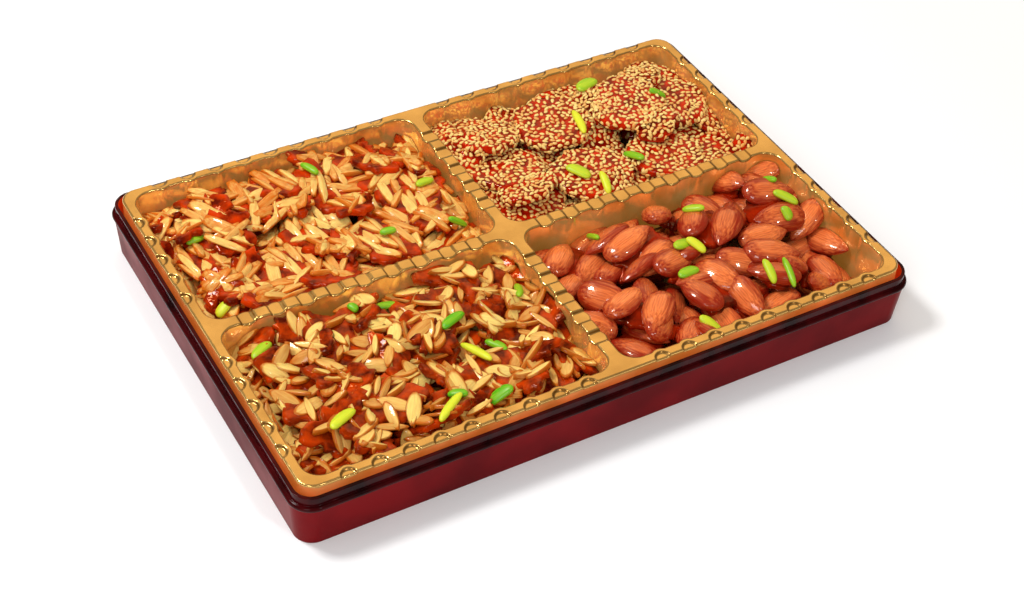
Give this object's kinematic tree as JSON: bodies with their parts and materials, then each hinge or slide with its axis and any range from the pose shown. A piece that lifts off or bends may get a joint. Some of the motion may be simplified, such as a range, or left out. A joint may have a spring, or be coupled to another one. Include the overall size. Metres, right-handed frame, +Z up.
{
  "type": "box of honey brittle",
  "caption": "Shallow red tray box with a fluted gold divided insert holding loose pieces of nut and sesame brittle.",
  "frame": {"origin": "centre of the outer box's underside", "axes": "+X along the long side, to the right as seen from the front; +Y towards the back; +Z up"},
  "size_m": [0.28, 0.192, 0.0298],
  "materials": {
    "ruby_plastic": "glossy, slightly translucent dark red",
    "gold_sheet": "metallised gold sheet, close to a mirror",
    "slivered_brittle": "glossy orange-red caramel with pale almond slivers",
    "sesame_brittle": "glossy red caramel covered with cream sesame seeds",
    "flaked_brittle": "glossy amber caramel with pale almond flakes",
    "almond_brittle": "glossy red-brown caramel over whole almonds in their skins"
  },
  "bodies": {
    "box": {"outer_box": "ruby_plastic"},
    "insert": {"gold_insert": "gold_sheet", "slivered_lower_layer": "slivered_brittle", "slivered_piece_1": "slivered_brittle", "slivered_piece_2": "slivered_brittle", "slivered_piece_3": "slivered_brittle", "slivered_piece_4": "slivered_brittle", "slivered_piece_5": "slivered_brittle", "slivered_piece_6": "slivered_brittle", "slivered_piece_7": "slivered_brittle", "slivered_piece_8": "slivered_brittle", "slivered_piece_9": "slivered_brittle", "slivered_piece_10": "slivered_brittle", "sesame_lower_layer": "sesame_brittle", "sesame_piece_1": "sesame_brittle", "sesame_piece_2": "sesame_brittle", "sesame_piece_3": "sesame_brittle", "sesame_piece_4": "sesame_brittle", "sesame_piece_5": "sesame_brittle", "sesame_piece_6": "sesame_brittle", "sesame_piece_7": "sesame_brittle", "sesame_piece_8": "sesame_brittle", "sesame_piece_9": "sesame_brittle", "flaked_lower_layer": "flaked_brittle", "flaked_piece_1": "flaked_brittle", "flaked_piece_2": "flaked_brittle", "flaked_piece_3": "flaked_brittle", "flaked_piece_4": "flaked_brittle", "flaked_piece_5": "flaked_brittle", "flaked_piece_6": "flaked_brittle", "flaked_piece_7": "flaked_brittle", "flaked_piece_8": "flaked_brittle", "flaked_piece_9": "flaked_brittle", "flaked_piece_10": "flaked_brittle", "almond_lower_layer": "almond_brittle", "almond_piece_1": "almond_brittle", "almond_piece_2": "almond_brittle", "almond_piece_3": "almond_brittle", "almond_piece_4": "almond_brittle", "almond_piece_5": "almond_brittle", "almond_piece_6": "almond_brittle", "almond_piece_7": "almond_brittle", "almond_piece_8": "almond_brittle", "almond_piece_9": "almond_brittle", "almond_piece_10": "almond_brittle", "almond_piece_11": "almond_brittle", "almond_piece_12": "almond_brittle", "almond_piece_13": "almond_brittle"},
    "loose_slivered_piece_11": {"slivered_piece_11": "slivered_brittle"},
    "loose_slivered_piece_12": {"slivered_piece_12": "slivered_brittle"},
    "loose_slivered_piece_13": {"slivered_piece_13": "slivered_brittle"},
    "loose_sesame_piece_10": {"sesame_piece_10": "sesame_brittle"},
    "loose_sesame_piece_11": {"sesame_piece_11": "sesame_brittle"},
    "loose_sesame_piece_12": {"sesame_piece_12": "sesame_brittle"},
    "loose_flaked_piece_11": {"flaked_piece_11": "flaked_brittle"},
    "loose_flaked_piece_12": {"flaked_piece_12": "flaked_brittle"},
    "loose_flaked_piece_13": {"flaked_piece_13": "flaked_brittle"},
    "loose_almond_piece_14": {"almond_piece_14": "almond_brittle"},
    "loose_almond_piece_15": {"almond_piece_15": "almond_brittle"},
    "loose_almond_piece_16": {"almond_piece_16": "almond_brittle"}
  },
  "joints": [
    {"name": "insert_lift", "type": "slide", "parent": "box", "child": "insert", "axis": [0, 0, 1], "range_m": [0, 0.03]},
    {"name": "slivered_piece_11_lift", "type": "slide", "parent": "insert", "child": "loose_slivered_piece_11", "axis": [0, 0, 1], "range_m": [0, 0.03]},
    {"name": "slivered_piece_12_lift", "type": "slide", "parent": "insert", "child": "loose_slivered_piece_12", "axis": [0, 0, 1], "range_m": [0, 0.03]},
    {"name": "slivered_piece_13_lift", "type": "slide", "parent": "insert", "child": "loose_slivered_piece_13", "axis": [0, 0, 1], "range_m": [0, 0.03]},
    {"name": "sesame_piece_10_lift", "type": "slide", "parent": "insert", "child": "loose_sesame_piece_10", "axis": [0, 0, 1], "range_m": [0, 0.03]},
    {"name": "sesame_piece_11_lift", "type": "slide", "parent": "insert", "child": "loose_sesame_piece_11", "axis": [0, 0, 1], "range_m": [0, 0.03]},
    {"name": "sesame_piece_12_lift", "type": "slide", "parent": "insert", "child": "loose_sesame_piece_12", "axis": [0, 0, 1], "range_m": [0, 0.03]},
    {"name": "flaked_piece_11_lift", "type": "slide", "parent": "insert", "child": "loose_flaked_piece_11", "axis": [0, 0, 1], "range_m": [0, 0.03]},
    {"name": "flaked_piece_12_lift", "type": "slide", "parent": "insert", "child": "loose_flaked_piece_12", "axis": [0, 0, 1], "range_m": [0, 0.03]},
    {"name": "flaked_piece_13_lift", "type": "slide", "parent": "insert", "child": "loose_flaked_piece_13", "axis": [0, 0, 1], "range_m": [0, 0.03]},
    {"name": "almond_piece_14_lift", "type": "slide", "parent": "insert", "child": "loose_almond_piece_14", "axis": [0, 0, 1], "range_m": [0, 0.03]},
    {"name": "almond_piece_15_lift", "type": "slide", "parent": "insert", "child": "loose_almond_piece_15", "axis": [0, 0, 1], "range_m": [0, 0.03]},
    {"name": "almond_piece_16_lift", "type": "slide", "parent": "insert", "child": "loose_almond_piece_16", "axis": [0, 0, 1], "range_m": [0, 0.03]}
  ]
}
